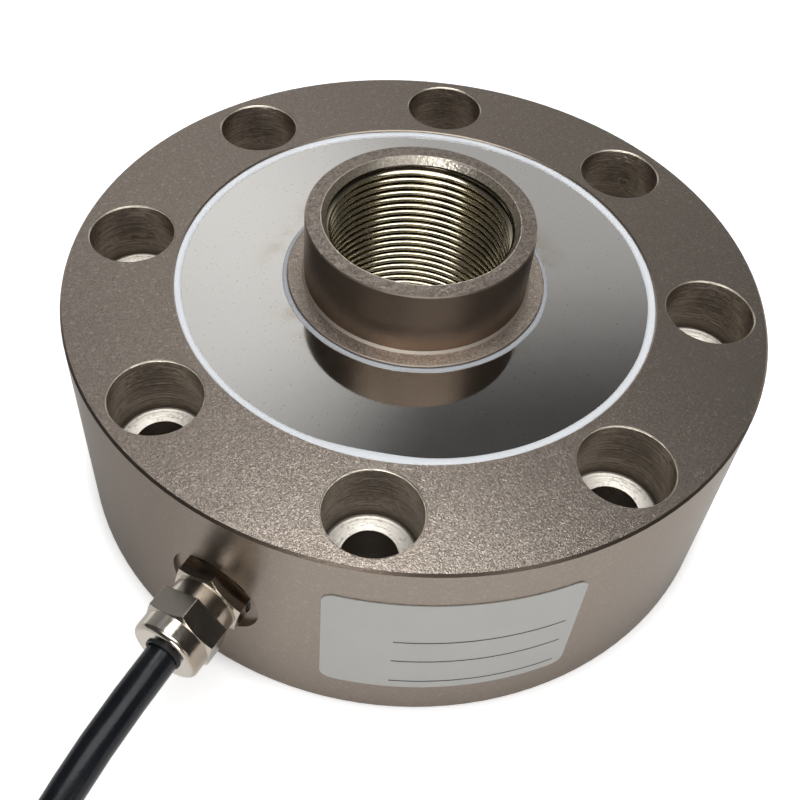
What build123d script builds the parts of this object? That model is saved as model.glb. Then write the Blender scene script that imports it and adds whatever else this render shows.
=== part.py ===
from build123d import *
import math
import os

# Pancake load cell in millimetres: a wheel-shaped sensing body whose hub hangs on
# four gauged spokes, closed by a cover plate above and below, with a cable gland
# in its side. The origin is the centre of the underside, +Z points up and the
# cable leaves towards -Y.

# Sensing body: its radii add up from the thread outwards
BODY_H = 41.2
EDGE_BREAK = 0.4
FINE_BREAK = 0.2
HUB_RISE = 12.6
HUB_LIFT = 1.0
THREAD_R = 16.0
MOUTH_FLARE = 0.8
MOUTH_DEPTH = 1.4
LOW_MOUTH = 1.0
COLLAR_R = 19.6
COLLAR_COVE = 0.4
SHOULDER_R = 22.6
SPOKE_L = 15.4
RIM_W = 18.9

# Cover plates, their recesses and the sealant beads round them
COVER_DEPTH = 0.7
LOW_COVER_DEPTH = 1.6
COVER_T = 1.2
COVER_GAP = 0.1
RIM_LEDGE = 1.9
HUB_LEDGE = 2.2
OUTER_BEAD_W = 1.2
INNER_BEAD_W = 0.85
BEAD_DIP = 0.3
BEAD_HOLLOW_OUT = 0.4
BEAD_HOLLOW_UP = 0.5

# Spokes and the pockets that thin them where the gauges sit
SPOKE_COUNT = 4
SPOKE_START = 45.0
SPOKE_W = 11.0
SPOKE_H = 20.0
SPOKE_ROOT_R = 3.0
POCKET_END = 3.2
POCKET_H = 13.0
POCKET_DEPTH = 2.5
POCKET_CORNER = 1.5
POCKET_RUNOUT = 1.5

# Bolt holes
BOLT_COUNT = 8
BOLT_START = 22.5
BOLT_INSET = 0.2
BOLT_R = 4.5
COUNTERBORE_R = 7.5
COUNTERBORE_DEPTH = 11.6
COUNTERBORE_BREAK = 0.25

# Cable gland: distances along its axis run outwards from the body's axis
SPOT_R = 8.1
SPOT_DEPTH = 1.2
GLAND_THREAD_R = 5.0
GLAND_THREAD_L = 8.0
GLAND_THREAD_SPARE = 1.5
PASSAGE_R = 3.5
GLAND_AF = 11.6
BODY_HEX_L = 3.2
HEX_CORNER_CUT = 0.42
HEX_FACE_STEP = 0.06
HEX_TURN = 17.7
NECK_STEP = 0.4
NECK_L = 2.9
NECK_GAP = 0.1
SLEEVE_STEP = 0.6
SLEEVE_L = 4.0
GLAND_BORE_CLEARANCE = 0.3
CAP_HEX_L = 4.1
DOME_STEP = 0.05
DOME_L = 3.2
DOME_EDGE = 0.8
CAP_CLEARANCE = 0.1
SEAL_WALL = 1.2
SEAL_BACK = 1.4
SEAL_LIP_WALL = 0.35
SEAL_LIP = 0.3
WASHER_T = 0.5
O_RING_WIRE_R = 0.55
O_RING_SEAT_GAP = 0.1

# Strain gauges and what joins them
GAUGE_L = 6.4
GAUGE_H = 8.0
GAUGE_T = 0.12
GRID_L = 4.4
GRID_W = 2.6
GRID_T = 0.08
GRID_LIFT = 0.6
GRID_SLANT = 45.0
TAB_SPACING = 3.84
TAB_SIZE = 1.2
TAB_T = 0.25
BOARD_W = 9.0
BOARD_T = 1.0
BOARD_FROM_LOOM = 1.2
BOARD_FROM_RIM = 2.2
BOARD_SPOKE = 225.0
PAD_COUNT = 4
PAD_SIZE = 1.2
PAD_T = 0.3
RESISTOR_COUNT = 3
RESISTOR_R = 0.9
RESISTOR_L = 4.0
RESISTOR_SHIFT = 1.8
LOOM_R = 0.8
LOOM_GAP = 0.9
LOOM_WIRE_R = 0.35
LOOM_WIRE_STANDOFF = 0.35
LOOM_BEND = 0.9

# Cable's cores inside the body, each a step further from the spoke than the last
INNER_CORE_R = 0.52
INNER_CORE_SIDE = 0.75
INNER_CORE_LEVEL = 0.8
INNER_CORE_STEP = 1.0
INNER_CORE_TURN = 3.0
INNER_CORE_SWING = (9.0, 2.0, -2.0)
INNER_CORE_APPROACH = (3.5, -1.5, 0.6)
INNER_CORE_GAP = 0.13
INNER_CORE_EASE = 0.4

# Cable: a 3 m lead, laid away in a tied coil
CABLE_R = 2.7
JACKET_INSIDE = 2.2
LEAD_BEND_OUT = 10.8
LEAD_ROUTE = [
    (0.0, -105.0, 12.6),
    (0.3, -125.0, 5.9),
    (1.2, -143.5, CABLE_R),
    (3.8, -161.0, CABLE_R),
]
LAST_RUN = 16.0
ENTRY_HEADING = 20.0
ENTRY_STUB = 22.0
COIL_MID_R = 32.4
COIL_SPREAD = 17.8
COIL_LAYERS = 4
COIL_CORNER = 2.4
TIE_T = 0.7
TIE_W = 4.0
TIE_ANGLES = [60.0, 235.0]
TIE_HEAD = 5.0
TIE_HEAD_W = 5.2
TIE_HEAD_T = 2.6
TIE_HEAD_EDGE = 0.5

# Bare end of the cable, lying on the coil
END_R = 33.0
END_START = 190.0
END_ARC = 50.0
END_SINK = 0.3
END_SLEEVE_WALL = 0.4
END_SLEEVE_ARC = 18.0
CORE_R = 0.65
CORE_PITCH = 0.9
CORE_UP = 1.04
CORE_DOWN = 0.52
CORE_STRAIGHT = 5.0
CORE_ARC = 44.0
CORE_FAN = [2.72, 3.4, 3.74]
CORE_FAN_AT = [0.4, 0.7, 1.0]
DRAIN_R = 0.45
DRAIN_PLACE = 2
TIP_R = 0.4
TIP_L = 5.0

# Label
LABEL_W = 39.3
LABEL_H = 25.3
LABEL_T = 0.15
LABEL_CORNER = 2.0
LABEL_ANGLE = 305.9
LABEL_BELOW_TOP = 8.0

# How far a cutting tool runs past the face that it cuts, and how much of the shorter run an arc takes
OVERCUT = 1.0
ARC_SHARE = 0.45

# Places that follow from the sizes above
MOUTH_R = THREAD_R + MOUTH_FLARE
HUB_R = SHOULDER_R + HUB_LEDGE
RIM_BORE_R = HUB_R + SPOKE_L
RECESS_R = RIM_BORE_R + RIM_LEDGE
BODY_R = RECESS_R + RIM_W
BOLT_CIRCLE_R = RECESS_R + RIM_W / 2 - BOLT_INSET
HUB_TOP = BODY_H + HUB_RISE
MID_Z = BODY_H / 2
COVER_TOP = BODY_H - COVER_DEPTH
HIGH_LEDGE = COVER_TOP - COVER_T
LOW_LEDGE = LOW_COVER_DEPTH + COVER_T
WEB_LOW = MID_Z - SPOKE_H / 2
WEB_HIGH = MID_Z + SPOKE_H / 2
SPOKE_MID_R = (HUB_R + RIM_BORE_R) / 2
SPOKE_ANGLES = [SPOKE_START + i * 360 / SPOKE_COUNT for i in range(SPOKE_COUNT)]
POCKET_L = SPOKE_L - 2 * POCKET_END
POCKET_FLOOR = SPOKE_W / 2 - POCKET_DEPTH
TAB_Z = MID_Z + TAB_SIZE - GAUGE_H / 2
LOOM_RING_R = HUB_R + LOOM_GAP + LOOM_R
LOOM_Z = WEB_HIGH + LOOM_R
BOARD_START = LOOM_RING_R + LOOM_R + BOARD_FROM_LOOM
BOARD_L = RIM_BORE_R - BOARD_FROM_RIM - BOARD_START
BOARD_TOP = WEB_HIGH + BOARD_T
SPOT_S = BODY_R - SPOT_DEPTH
BODY_HEX_END = SPOT_S + BODY_HEX_L
CAP_START = BODY_HEX_END + NECK_L
NECK_R = GLAND_AF / 2 - NECK_STEP
SLEEVE_R = NECK_R - SLEEVE_STEP
DOME_R = GLAND_AF / 2 - DOME_STEP
SEAL_R = CABLE_R + SEAL_WALL
SEAL_LIP_R = CABLE_R + SEAL_LIP_WALL
SLEEVE_END = CAP_START + SLEEVE_L
CAP_HEX_END = CAP_START + CAP_HEX_L
CAP_END = CAP_HEX_END + DOME_L
WASHER_START = SLEEVE_END + CAP_CLEARANCE
WASHER_END = WASHER_START + WASHER_T
GLAND_BORE_R = CABLE_R + GLAND_BORE_CLEARANCE
JACKET_START = SPOT_S + JACKET_INSIDE
LEAD_BEND = CAP_END + LEAD_BEND_OUT
CABLE_D = 2 * CABLE_R
COIL_OUT_R = COIL_MID_R + COIL_SPREAD / 2 + CABLE_R
COIL_IN_R = COIL_MID_R - COIL_SPREAD / 2 - CABLE_R
COIL_H = COIL_LAYERS * CABLE_D
END_SLEEVE_R = CABLE_R + END_SLEEVE_WALL

GLAND = Plane(origin=(0, 0, MID_Z), x_dir=(1, 0, 0), z_dir=(0, -1, 0))


def turned(outline):
    """A solid turned about Z from its outline of (radius, height) points."""
    wire = Polyline(*[(r, 0, z) for r, z in outline], close=True)
    return revolve(make_face(wire), Axis.Z, 360)


def bar(radius, start, end):
    """A round bar on Z between two heights."""
    return turned([(0, start), (radius, start), (radius, end), (0, end)])


def ring(inner, outer, low, high):
    """A plain turned ring."""
    return turned([(inner, low), (outer, low), (outer, high), (inner, high)])


def chamfered_hexagon(start, end):
    """A hexagon across GLAND_AF whose outer corners are turned back."""
    prism = RegularPolygon(GLAND_AF / 2, 6, major_radius=False, rotation=HEX_TURN)
    corner_r = GLAND_AF / math.sqrt(3)
    face_r = GLAND_AF / 2 - HEX_FACE_STEP
    shoulder = end - HEX_CORNER_CUT
    blank = [(0, start), (corner_r, start), (corner_r, shoulder), (face_r, end), (0, end)]
    return extrude(Plane.XY.offset(start) * prism, end - start) & turned(blank)


def corner_radii(points):
    """The tangent arc that each corner of a route takes on its share of the shorter run."""
    radii = []
    for before, corner, after in zip(points, points[1:], points[2:]):
        run_in = Vector(*corner) - Vector(*before)
        run_out = Vector(*after) - Vector(*corner)
        half_turn = math.radians(run_in.get_angle(run_out)) / 2
        radii.append(ARC_SHARE * min(run_in.length, run_out.length) / math.tan(half_turn))
    return radii


def tube(points, radius, bends):
    """A round tube along straight runs joined by tangent arcs, and its path."""
    path = FilletPolyline(*points, radius=bends)
    section = Plane(origin=path @ 0, z_dir=path % 0) * Circle(radius)
    return sweep(section, path=path), path


def round_coil(radius, angle, height):
    """A point given by its radius and angle about the coil's axis."""
    return COIL_CENTRE + Vector(
        radius * math.cos(math.radians(angle)), radius * math.sin(math.radians(angle)), height
    )


def body_blank():
    """The turned sensing body: rim, web and hub with its collar."""
    return turned(
        [
            (THREAD_R + LOW_MOUTH, HUB_LIFT),
            (SHOULDER_R - FINE_BREAK, HUB_LIFT),
            (SHOULDER_R, HUB_LIFT + FINE_BREAK),
            (SHOULDER_R, LOW_LEDGE),
            (HUB_R, LOW_LEDGE),
            (HUB_R, WEB_LOW),
            (RIM_BORE_R, WEB_LOW),
            (RIM_BORE_R, LOW_LEDGE),
            (RECESS_R, LOW_LEDGE),
            (RECESS_R, FINE_BREAK),
            (RECESS_R + FINE_BREAK, 0),
            (BODY_R - EDGE_BREAK, 0),
            (BODY_R, EDGE_BREAK),
            (BODY_R, BODY_H - EDGE_BREAK),
            (BODY_R - EDGE_BREAK, BODY_H),
            (RECESS_R + FINE_BREAK, BODY_H),
            (RECESS_R, BODY_H - FINE_BREAK),
            (RECESS_R, HIGH_LEDGE),
            (RIM_BORE_R, HIGH_LEDGE),
            (RIM_BORE_R, WEB_HIGH),
            (HUB_R, WEB_HIGH),
            (HUB_R, HIGH_LEDGE),
            (SHOULDER_R, HIGH_LEDGE),
            (SHOULDER_R, BODY_H - FINE_BREAK),
            (SHOULDER_R - FINE_BREAK, BODY_H),
            (COLLAR_R + COLLAR_COVE, BODY_H),
            (COLLAR_R, BODY_H + COLLAR_COVE),
            (COLLAR_R, HUB_TOP - FINE_BREAK),
            (COLLAR_R - FINE_BREAK, HUB_TOP),
            (MOUTH_R, HUB_TOP),
            (THREAD_R, HUB_TOP - MOUTH_DEPTH),
            (THREAD_R, HUB_LIFT + LOW_MOUTH),
        ]
    )


def windows():
    """The openings through the web that leave the spokes standing."""
    web = Circle(RIM_BORE_R) - Circle(HUB_R)
    for angle in SPOKE_ANGLES:
        web -= Rot(0, 0, angle) * Pos(SPOKE_MID_R, 0) * Rectangle(RIM_BORE_R, SPOKE_W)
    web = fillet(web.vertices(), SPOKE_ROOT_R)
    return extrude(Plane.XY.offset(WEB_LOW) * web, SPOKE_H)


def gauge_pockets():
    """The pockets milled into both sides of every spoke."""
    reach = POCKET_DEPTH + POCKET_RUNOUT
    block = Box(POCKET_L, reach, POCKET_H)
    block = fillet(block.edges().filter_by(Axis.Y), POCKET_CORNER)
    offset = POCKET_FLOOR + reach / 2
    return [
        Rot(0, 0, angle) * Pos(SPOKE_MID_R, side * offset, MID_Z) * block
        for angle in SPOKE_ANGLES
        for side in (-1, 1)
    ]


def bolt_holes():
    """The counterbored holes of the bolt circle."""
    floor = BODY_H - COUNTERBORE_DEPTH
    tool = turned(
        [
            (0, -OVERCUT),
            (BOLT_R, -OVERCUT),
            (BOLT_R, floor),
            (COUNTERBORE_R, floor),
            (COUNTERBORE_R, BODY_H - COUNTERBORE_BREAK),
            (COUNTERBORE_R + COUNTERBORE_BREAK, BODY_H),
            (COUNTERBORE_R + COUNTERBORE_BREAK, BODY_H + OVERCUT),
            (0, BODY_H + OVERCUT),
        ]
    )
    return [place * tool for place in PolarLocations(BOLT_CIRCLE_R, BOLT_COUNT, BOLT_START)]


def gland_port():
    """The spot face, ring seat, thread and passage that the gland needs in the rim."""
    seat_depth = 2 * O_RING_WIRE_R
    seat_r = GLAND_THREAD_R + 2 * O_RING_WIRE_R + O_RING_SEAT_GAP
    thread_start = SPOT_S - GLAND_THREAD_L - GLAND_THREAD_SPARE
    return GLAND * turned(
        [
            (0, SPOKE_MID_R),
            (PASSAGE_R, SPOKE_MID_R),
            (PASSAGE_R, thread_start),
            (GLAND_THREAD_R, thread_start),
            (GLAND_THREAD_R, SPOT_S - seat_depth),
            (seat_r, SPOT_S - seat_depth),
            (seat_r, SPOT_S),
            (SPOT_R, SPOT_S),
            (SPOT_R, BODY_R + OVERCUT),
            (0, BODY_R + OVERCUT),
        ]
    )


def sensing_body():
    """The turned blank with its windows, pockets, bolt holes and gland port."""
    return body_blank() - windows() - gauge_pockets() - bolt_holes() - gland_port()


def cover_plate(low):
    """A flat ring that lies on the rim's ledge and the hub's ledge."""
    return ring(SHOULDER_R + COVER_GAP, RECESS_R - COVER_GAP, low, low + COVER_T)


def seal_bead(wall_r, width, face, edge):
    """A hollow-faced bead in the corner of a cover and a wall, stopping short of the wall's edge."""
    rise = edge - face - math.copysign(BEAD_DIP, edge - face)
    toe = wall_r + width
    middle = (wall_r + width * BEAD_HOLLOW_OUT, face + rise * BEAD_HOLLOW_UP)
    return turned([(wall_r, face), (toe, face), middle, (wall_r, face + rise)])


def strain_gauge(angle, side):
    """A foil gauge on the floor of a spoke's pocket: carrier, slanting grid and two tabs."""
    carrier = Pos(0, GAUGE_T / 2, 0) * Box(GAUGE_L, GAUGE_T, GAUGE_H)
    grid = Rot(0, GRID_SLANT, 0) * Box(GRID_L, GRID_T, GRID_W)
    grid = Pos(0, GAUGE_T + GRID_T / 2, GRID_LIFT) * grid
    gauge = carrier + grid
    for tab in (-1, 1):
        place = Pos(tab * TAB_SPACING / 2, GAUGE_T + TAB_T / 2, TAB_Z - MID_Z)
        gauge += place * Box(TAB_SIZE, TAB_T, TAB_SIZE)
    turn = 0 if side > 0 else 180
    on_spoke = Pos(SPOKE_MID_R, side * POCKET_FLOOR, MID_Z) * Rot(0, 0, turn)
    return Rot(0, 0, angle) * on_spoke * gauge


def on_board(along, across, height):
    """A place on the terminal board, from its middle."""
    middle = BOARD_START + BOARD_L / 2
    return Rot(0, 0, BOARD_SPOKE) * Pos(middle + along, across, height)


def terminal_board():
    """A small board bonded on top of one spoke, with a row of solder pads."""
    board = on_board(0, 0, WEB_HIGH + BOARD_T / 2) * Box(BOARD_L, BOARD_W, BOARD_T)
    for place in pad_places():
        board += place * Pos(0, 0, PAD_T / 2) * Box(PAD_SIZE, PAD_SIZE, PAD_T)
    return board


def pad_places():
    """Where the cable's cores are soldered: a row near the board's edge."""
    pitch = BOARD_L / (PAD_COUNT + 0.5)
    first = -pitch * (PAD_COUNT - 1) / 2
    edge = BOARD_W / 2 - PAD_SIZE
    return [on_board(first + i * pitch, edge, BOARD_TOP) for i in range(PAD_COUNT)]


def trimming_resistors():
    """Small resistors lying side by side on the terminal board."""
    pitch = BOARD_L / RESISTOR_COUNT
    lying = Rot(90, 0, 0) * bar(RESISTOR_R, -RESISTOR_L / 2, RESISTOR_L / 2)
    places = [
        on_board((i - (RESISTOR_COUNT - 1) / 2) * pitch, -RESISTOR_SHIFT, BOARD_TOP + RESISTOR_R)
        for i in range(RESISTOR_COUNT)
    ]
    return Compound([place * lying for place in places])


def loom_branch(angle, side):
    """A wire from the loom round the hub, down past the spoke, to a gauge's tab."""
    clear = SPOKE_W / 2 + LOOM_WIRE_R + LOOM_WIRE_STANDOFF
    along = SPOKE_MID_R - TAB_SPACING / 2
    on_tab = POCKET_FLOOR + GAUGE_T + TAB_T
    start = math.sqrt(LOOM_RING_R**2 - clear**2)
    points = [
        (start, side * clear, LOOM_Z),
        (along, side * clear, LOOM_Z),
        (along, side * clear, TAB_Z),
        (along, side * on_tab, TAB_Z),
    ]
    return Rot(0, 0, angle) * tube(points, LOOM_WIRE_R, [LOOM_BEND, LOOM_BEND])[0]


def bridge_loom():
    """The loom that joins the gauges: a bundle round the hub with a branch to each gauge."""
    loom = Pos(0, 0, LOOM_Z) * Torus(LOOM_RING_R, LOOM_R)
    for angle in SPOKE_ANGLES:
        for side in (-1, 1):
            loom += loom_branch(angle, side)
    link = Rot(0, 90, 0) * bar(LOOM_WIRE_R, LOOM_RING_R, BOARD_START)
    link_z = WEB_HIGH + BOARD_T / 2
    return loom + Rot(0, 0, BOARD_SPOKE) * Pos(0, 0, link_z) * link


def inner_core(index, pad):
    """One core, from the stripped jacket through the passage to its pad on the board."""
    side = -1 if index % 2 else 1
    level = 1 if index < PAD_COUNT / 2 else -1
    across = side * INNER_CORE_SIDE
    height = MID_Z + level * INNER_CORE_LEVEL
    step = index * INNER_CORE_STEP
    swing = Vector(*INNER_CORE_SWING)
    approach = Vector(*INNER_CORE_APPROACH)
    end = Vector(pad.X, pad.Y, pad.Z + PAD_T + INNER_CORE_GAP + INNER_CORE_R)
    points = [
        (across, -JACKET_START, height),
        (across, -SPOKE_MID_R - INNER_CORE_TURN - step, height),
        (end.X + swing.X - step, -SPOKE_MID_R + swing.Y - step, WEB_HIGH + swing.Z),
        tuple(end + approach),
        tuple(end),
    ]
    bends = [INNER_CORE_EASE * r for r in corner_radii(points)]
    return tube(points, INNER_CORE_R, bends)[0]


def cable_cores():
    """The four cores that join the cable to the board's pads."""
    return Compound([inner_core(i, place.position) for i, place in enumerate(pad_places())])


def gland_body():
    """The gland's lower part: threaded spigot, hexagon, neck and the sleeve under the cap."""
    outside = turned(
        [
            (0, SPOT_S - GLAND_THREAD_L),
            (GLAND_THREAD_R - EDGE_BREAK, SPOT_S - GLAND_THREAD_L),
            (GLAND_THREAD_R, SPOT_S - GLAND_THREAD_L + EDGE_BREAK),
            (GLAND_THREAD_R, SPOT_S),
            (NECK_R, SPOT_S),
            (NECK_R, CAP_START - NECK_GAP),
            (SLEEVE_R, CAP_START - NECK_GAP),
            (SLEEVE_R, SLEEVE_END),
            (0, SLEEVE_END),
        ]
    )
    bore = bar(GLAND_BORE_R, SPOT_S - GLAND_THREAD_L - OVERCUT, SLEEVE_END + OVERCUT)
    seal_seat = bar(SEAL_R, CAP_START - SEAL_BACK, SLEEVE_END + OVERCUT)
    return GLAND * (outside + chamfered_hexagon(SPOT_S, BODY_HEX_END) - bore - seal_seat)


def gland_o_ring():
    """The ring that seals the gland in the rim, in its seat under the hexagon."""
    centre = SPOT_S - O_RING_WIRE_R
    return GLAND * Pos(0, 0, centre) * Torus(GLAND_THREAD_R + O_RING_WIRE_R, O_RING_WIRE_R)


def gland_cap_nut():
    """The cap nut: hexagon and rounded dome, hollow over the sleeve."""
    dome = bar(DOME_R, CAP_START, CAP_END)
    dome = fillet(dome.edges().sort_by(Axis.Z)[-1], DOME_EDGE)
    hollow = bar(SLEEVE_R + CAP_CLEARANCE, CAP_START - OVERCUT, WASHER_END)
    mouth = bar(SEAL_LIP_R, CAP_START, CAP_END + OVERCUT)
    return GLAND * (chamfered_hexagon(CAP_START, CAP_HEX_END) + dome - hollow - mouth)


def gland_washer():
    """The thrust washer between the sleeve's end and the cap's shoulder."""
    return GLAND * ring(SEAL_LIP_R, SLEEVE_R, WASHER_START, WASHER_END)


def gland_seal():
    """The rubber grommet: a plug in the sleeve and a thin neck that shows in the cap's mouth."""
    return GLAND * turned(
        [
            (CABLE_R, CAP_START - SEAL_BACK),
            (SEAL_R, CAP_START - SEAL_BACK),
            (SEAL_R, WASHER_START),
            (SEAL_LIP_R, WASHER_START),
            (SEAL_LIP_R, CAP_END + SEAL_LIP),
            (CABLE_R, CAP_END + SEAL_LIP),
        ]
    )


def name_label():
    """A thin label bent round the side of the rim."""
    middle = BODY_H - LABEL_BELOW_TOP - LABEL_H / 2
    outward = Plane(origin=(0, 0, middle), x_dir=(0, 1, 0), z_dir=(1, 0, 0))
    block = extrude(outward * RectangleRounded(LABEL_W, LABEL_H, LABEL_CORNER), BODY_R + OVERCUT)
    shell = ring(BODY_R, BODY_R + LABEL_T, EDGE_BREAK, BODY_H - EDGE_BREAK)
    return Rot(0, 0, LABEL_ANGLE) * (shell & block)


def lead_points():
    """The lead's route, from the gland down to the floor and along to the coil."""
    return [(0.0, -JACKET_START, MID_Z), (0.0, -LEAD_BEND, MID_Z), *LEAD_ROUTE]


# The coil lies so that the lead, going straight on, touches its outermost turn
HEADING = Vector(math.sin(math.radians(ENTRY_HEADING)), -math.cos(math.radians(ENTRY_HEADING)), 0)
LEAD_END = Vector(*LEAD_ROUTE[-1]) + HEADING * LAST_RUN
COIL_ENTRY = LEAD_END + HEADING * ENTRY_STUB
TURN_R = COIL_OUT_R - CABLE_R
COIL_CENTRE = Vector(
    COIL_ENTRY.X - TURN_R * math.cos(math.radians(ENTRY_HEADING)),
    COIL_ENTRY.Y - TURN_R * math.sin(math.radians(ENTRY_HEADING)),
    0,
)


def cable_lead():
    """The lead as a plain tube from inside the gland to the coil."""
    points = [*lead_points(), tuple(LEAD_END)]
    bends = corner_radii(points)
    lead, path = tube(points, CABLE_R, bends)
    plain_volume = math.pi * CABLE_R**2 * path.length
    print("lead radii", [round(r, 1) for r in bends], "length", round(path.length, 1))
    print("lead volume over section times length", round(lead.volume / plain_volume, 4))
    return lead


def coil_section(inset):
    """The coil's rounded section, drawn in from its true outline by an inset."""
    width = COIL_OUT_R - COIL_IN_R - 2 * inset
    height = COIL_H - 2 * inset
    return Plane.XZ * Pos(COIL_MID_R, COIL_H / 2) * RectangleRounded(width, height, COIL_CORNER)


def tie_groove(angle):
    """The room that a tie squeezes out of the coil, with space outside it."""
    around = Plane.XZ * Pos(COIL_MID_R, COIL_H / 2) * Rectangle(COIL_OUT_R, 2 * COIL_H)
    groove = extrude(around - coil_section(TIE_T), TIE_W / 2, both=True)
    return Pos(*COIL_CENTRE) * Rot(0, 0, angle) * groove


def coil_tie(angle):
    """A flat band round the coil's section, with its buckle on the outer side."""
    band = coil_section(0) - coil_section(TIE_T)
    band = extrude(band, TIE_W / 2, both=True)
    buckle = Box(TIE_HEAD_T, TIE_HEAD_W, TIE_HEAD)
    buckle = fillet(buckle.edges().filter_by(Axis.Z), TIE_HEAD_EDGE)
    band += Pos(COIL_OUT_R + TIE_HEAD_T / 2, 0, COIL_H / 2) * buckle
    return Pos(*COIL_CENTRE) * Rot(0, 0, angle) * band


def swept_arc(radius, thickness, height, start, arc):
    """A round bar bent about the coil's axis, clockwise from its start angle."""
    section = Plane.XZ * Pos(radius, height) * Circle(thickness)
    bent = revolve(section, Axis.Z, arc)
    return Pos(*COIL_CENTRE) * Rot(0, 0, start - arc) * bent


def cable_coil():
    """The coil as one solid: its ring of turns, the lead that joins it and the end on top."""
    coil = Pos(*COIL_CENTRE) * revolve(coil_section(0), Axis.Z, 360)
    stub = Plane(origin=LEAD_END, z_dir=HEADING) * Circle(CABLE_R)
    coil += extrude(stub, ENTRY_STUB)
    coil += swept_arc(END_R, CABLE_R, COIL_H + CABLE_R - END_SINK, END_START, END_ARC)
    for angle in TIE_ANGLES:
        coil -= tie_groove(angle)
    return coil


def end_sleeve():
    """The shrink sleeve over the end of the jacket."""
    start = END_START - END_ARC
    return swept_arc(END_R, END_SLEEVE_R, COIL_H + END_SLEEVE_R, start, END_SLEEVE_ARC)


def end_core_path(index, radius):
    """The route of one bare-end core, from the sleeve's face down onto the coil."""
    start = END_START - END_ARC - END_SLEEVE_ARC
    onward = Vector(math.sin(math.radians(start)), -math.cos(math.radians(start)), 0)
    side = index - DRAIN_PLACE
    rise = CORE_UP if index % 2 else -CORE_DOWN
    leaving = round_coil(END_R + side * CORE_PITCH, start, COIL_H + END_SLEEVE_R + rise)
    fanned = [
        round_coil(END_R + side * fan, start - CORE_ARC * share, COIL_H + radius)
        for fan, share in zip(CORE_FAN, CORE_FAN_AT)
    ]
    return [leaving, leaving + onward * CORE_STRAIGHT, *fanned]


def end_core(index, radius):
    """One core of the bare end, from the sleeve out onto the coil."""
    points = [tuple(p) for p in end_core_path(index, radius)]
    return tube(points, radius, corner_radii(points))[0]


def core_tips(indices):
    """The tinned ends that stick out of the insulated cores."""
    tips = []
    for index in indices:
        *_, before, end = end_core_path(index, CORE_R)
        plane = Plane(origin=end, z_dir=end - before)
        tips.append(extrude(plane * Circle(TIP_R), TIP_L))
    return Compound(tips)


parts = {
    "sensing_body": sensing_body(),
    "top_cover_plate": cover_plate(HIGH_LEDGE),
    "top_outer_seal_bead": seal_bead(RECESS_R, -OUTER_BEAD_W, COVER_TOP, BODY_H),
    "top_inner_seal_bead": seal_bead(SHOULDER_R, INNER_BEAD_W, COVER_TOP, BODY_H),
    "bottom_cover_plate": cover_plate(LOW_COVER_DEPTH),
    "bottom_outer_seal_bead": seal_bead(RECESS_R, -OUTER_BEAD_W, LOW_COVER_DEPTH, 0),
    "bottom_inner_seal_bead": seal_bead(SHOULDER_R, INNER_BEAD_W, LOW_COVER_DEPTH, HUB_LIFT),
    "terminal_board": terminal_board(),
    "trimming_resistors": trimming_resistors(),
    "bridge_loom": bridge_loom(),
    "cable_cores": cable_cores(),
    "gland_body": gland_body(),
    "gland_o_ring": gland_o_ring(),
    "gland_seal": gland_seal(),
    "gland_washer": gland_washer(),
    "gland_cap_nut": gland_cap_nut(),
    "name_label": name_label(),
    "cable_lead": cable_lead(),
    "cable_coil": cable_coil(),
    "end_sleeve": end_sleeve(),
    "end_core_red": end_core(0, CORE_R),
    "end_core_black": end_core(1, CORE_R),
    "end_drain_wire": end_core(DRAIN_PLACE, DRAIN_R),
    "end_core_green": end_core(3, CORE_R),
    "end_core_white": end_core(4, CORE_R),
    "end_core_tips": core_tips([0, 1, 3, 4]),
}
for number, angle in enumerate(TIE_ANGLES, 1):
    parts[f"coil_tie_{number}"] = coil_tie(angle)
for number, angle in enumerate(SPOKE_ANGLES):
    parts[f"strain_gauge_{2 * number + 1}"] = strain_gauge(angle, -1)
    parts[f"strain_gauge_{2 * number + 2}"] = strain_gauge(angle, 1)

os.makedirs("parts", exist_ok=True)
for name, shape in parts.items():
    export_step(shape, f"parts/{name}.step")
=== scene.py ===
import math
import random
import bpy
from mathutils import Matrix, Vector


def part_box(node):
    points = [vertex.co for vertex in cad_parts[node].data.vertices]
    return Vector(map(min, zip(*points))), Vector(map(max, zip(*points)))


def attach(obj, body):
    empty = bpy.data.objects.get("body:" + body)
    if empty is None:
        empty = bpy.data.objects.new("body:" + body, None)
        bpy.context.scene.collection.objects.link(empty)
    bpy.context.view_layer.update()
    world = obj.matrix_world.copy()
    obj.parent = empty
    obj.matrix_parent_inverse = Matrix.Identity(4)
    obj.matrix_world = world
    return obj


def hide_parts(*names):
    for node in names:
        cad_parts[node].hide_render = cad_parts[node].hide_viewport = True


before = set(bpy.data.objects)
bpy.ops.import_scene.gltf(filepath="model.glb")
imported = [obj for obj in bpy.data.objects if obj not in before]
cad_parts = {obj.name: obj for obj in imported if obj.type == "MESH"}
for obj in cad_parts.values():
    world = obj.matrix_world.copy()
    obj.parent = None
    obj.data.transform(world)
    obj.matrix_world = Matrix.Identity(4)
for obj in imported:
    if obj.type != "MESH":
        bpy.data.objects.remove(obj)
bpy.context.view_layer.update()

from types import SimpleNamespace

import bpy
from mathutils import Matrix, Vector

# A pancake load cell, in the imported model's frame: origin at the centre of the
# underside, +Z up, the cable leaving towards -Y. Sizes below are millimetres
# and angles are degrees, unless a name says otherwise.

MM = 0.001

# The steel body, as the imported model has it
BODY_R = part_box("sensing_body")[1].x / MM
HUB_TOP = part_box("sensing_body")[1].z / MM
PLATE_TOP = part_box("top_cover_plate")[1].z / MM
BOLT_COUNT = 8
BOLT_START = 22.5
BOLT_CIRCLE_R = 51.35
COUNTERBORE_R = 7.5
COUNTERBORE_FLOOR = 29.6
BOLT_R = 4.5
COLLAR_R = 19.6
SHOULDER_R = 22.6
RECESS_R = 42.1

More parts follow.
